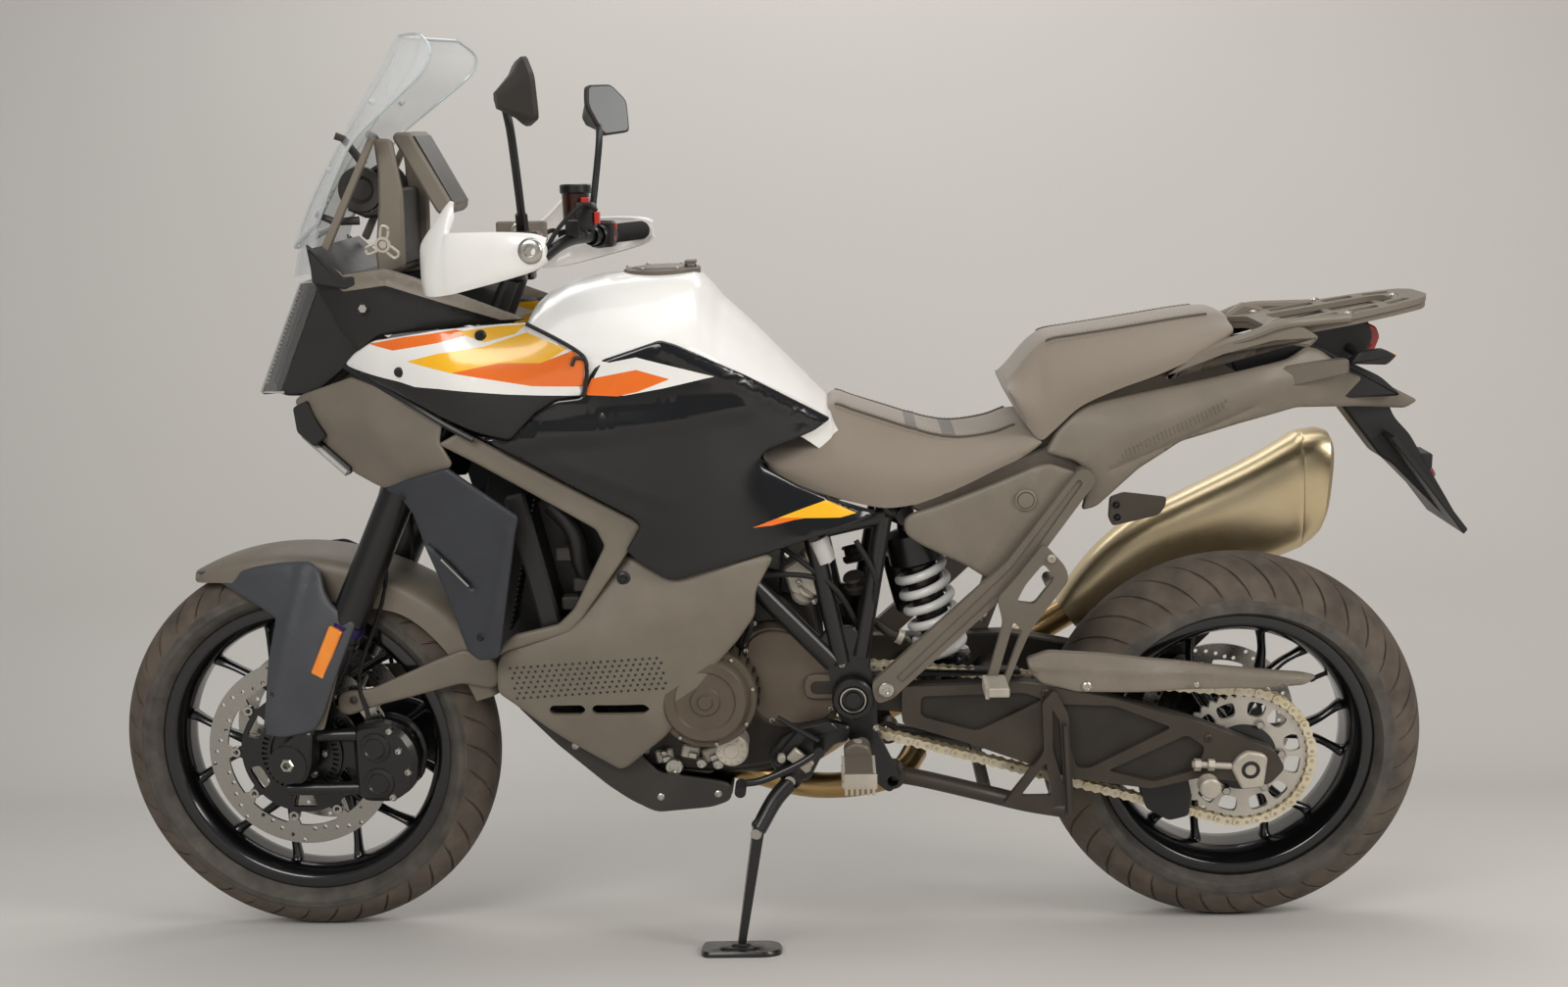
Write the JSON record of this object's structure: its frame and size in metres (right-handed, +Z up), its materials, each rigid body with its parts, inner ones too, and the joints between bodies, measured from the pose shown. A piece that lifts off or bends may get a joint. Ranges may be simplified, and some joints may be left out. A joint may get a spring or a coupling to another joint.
{
  "type": "adventure motorcycle",
  "caption": "Adventure motorcycle leaning on its side stand, with a tall screen, handguards, twin front discs, trellis frame, luggage rack, chain drive and raised silencer",
  "frame": {"origin": "on the ground at the middle of the parked motorcycle's bounding box", "axes": "+X to the rear along the wheelbase, +Y to the rider's right, +Z up; it leans 14 degrees to the left on its side stand, with the steering a little to the right"},
  "size_m": [2.2394, 0.9709, 1.4856],
  "materials": {
    "frame_black": "satin black powder coat",
    "subframe_bronze": "bronze-grey powder coat",
    "engine_black": "matt black cast alloy",
    "wheel_black": "gloss black powder coat",
    "tank_white": "gloss white with orange and yellow panels",
    "gloss_black": "gloss black",
    "matt_black": "grained black moulding",
    "cowl_bronze": "grained bronze-grey moulding",
    "slate_plastic": "grained slate-grey moulding",
    "clear_screen": "clear polycarbonate",
    "red_lens": "red lens",
    "seat_cover": "taupe seat cover with double stitching",
    "silencer_steel": "satin steel with a gold tint",
    "arm_alloy": "dark cast aluminium",
    "disc_steel": "ground steel",
    "chain_steel": "pale gold chain",
    "tyre_rubber": "dusty tyre rubber"
  },
  "bodies": {
    "chassis": {"belly_pan": "matt_black", "chain": "chain_steel", "chain_guard": "cowl_bronze", "cockpit": "matt_black", "cowls": "cowl_bronze", "dash": "cowl_bronze", "engine": "engine_black", "exhaust_pipe": "silencer_steel", "fins": "slate_plastic", "footrests": "arm_alloy", "frame": "frame_black", "fuel_tank": "tank_white", "headlight": "clear_screen", "luggage_rack": "cowl_bronze", "pillion_seat": "seat_cover", "plate_holder": "matt_black", "radiator_ducts": "cowl_bronze", "rear_brake": "frame_black", "rider_seat": "seat_cover", "shock": "frame_black", "shrouds": "tank_white", "side_covers": "cowl_bronze", "side_panels": "cowl_bronze", "silencer": "silencer_steel", "stand_bracket": "frame_black", "subframe": "subframe_bronze", "swingarm": "arm_alloy", "tail_cover": "cowl_bronze", "tail_light": "red_lens", "tank_sides": "gloss_black", "windscreen": "clear_screen"},
    "steering": {"fork": "frame_black", "front_callipers": "frame_black", "front_fender": "slate_plastic", "handlebar": "frame_black", "handguards": "tank_white", "mirrors": "frame_black"},
    "front_wheel": {"front_wheel": "wheel_black", "front_tyre": "tyre_rubber", "front_discs": "disc_steel"},
    "rear_wheel": {"rear_wheel": "wheel_black", "rear_tyre": "tyre_rubber", "rear_disc": "disc_steel", "sprocket": "disc_steel"},
    "side_stand": {"side_stand": "frame_black"},
    "centre_stand": {"centre_stand": "frame_black"}
  },
  "joints": [
    {"name": "steering", "type": "hinge", "parent": "chassis", "child": "steering", "pos_m": [-0.76259, 0.22306, 0.30418], "axis": [0.4179, -0.2198, 0.8815], "range_deg": [-31.4, 40.6]},
    {"name": "front_wheel_spin", "type": "hinge", "parent": "steering", "child": "front_wheel", "pos_m": [-0.79519, 0.22223, 0.31943], "axis": [0.0729, 0.9753, 0.2086], "continuous": true},
    {"name": "rear_wheel_spin", "type": "hinge", "parent": "chassis", "child": "rear_wheel", "pos_m": [0.7617, 0.22134, 0.31108], "axis": [0, 0.9703, 0.2419], "continuous": true},
    {"name": "side_stand_fold", "type": "hinge", "parent": "chassis", "child": "side_stand", "pos_m": [0.0297, 0.04732, 0.27325], "axis": [0.1447, -0.9756, -0.1654], "range_deg": [0, 97.3]},
    {"name": "centre_stand_drop", "type": "hinge", "parent": "chassis", "child": "centre_stand", "pos_m": [0.1897, 0.22681, 0.28915], "axis": [0, 0.9703, 0.2419], "range_deg": [0, 90]}
  ]
}
